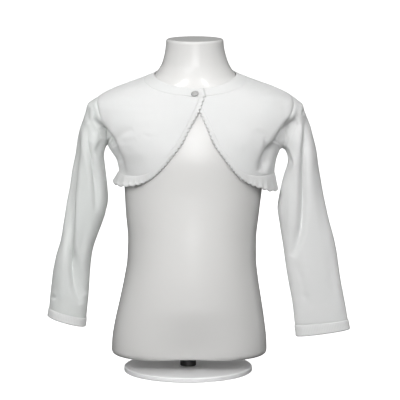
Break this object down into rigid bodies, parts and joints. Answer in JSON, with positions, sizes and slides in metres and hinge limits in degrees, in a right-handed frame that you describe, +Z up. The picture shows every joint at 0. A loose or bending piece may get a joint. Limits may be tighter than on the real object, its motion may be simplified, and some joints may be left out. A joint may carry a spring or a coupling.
{
  "type": "knitted shrug on a torso form",
  "caption": "Child's fine-knit shrug with long empty sleeves and cut-away fronts held by a neck button, worn by a limbless torso form on a low round base.",
  "frame": {"origin": "centre of the base plate's underside, straight below the stub that carries the form", "axes": "+Z up, the form and the shrug's fronts face -Y, the wearer's left is +X"},
  "size_m": [0.4261, 0.18, 0.4693],
  "materials": {
    "knit": "white fine plain knit, matt with a soft nap",
    "band": "white doubled knit of the bands, ribbed finely",
    "form": "glossy white moulded plastic",
    "button": "pearl grey, dished",
    "stub": "black, satin",
    "base": "white, satin"
  },
  "bodies": {
    "root": {"base_plate": "base", "stand_stub": "stub", "torso_form": "form", "right_front": "knit", "left_front": "knit", "back": "knit", "right_sleeve": "knit", "left_sleeve": "knit", "right_cuff": "band", "left_cuff": "band", "right_edging": "band", "left_edging": "band", "back_hem_band": "band", "neckband": "band", "button": "button"}
  },
  "joints": []
}
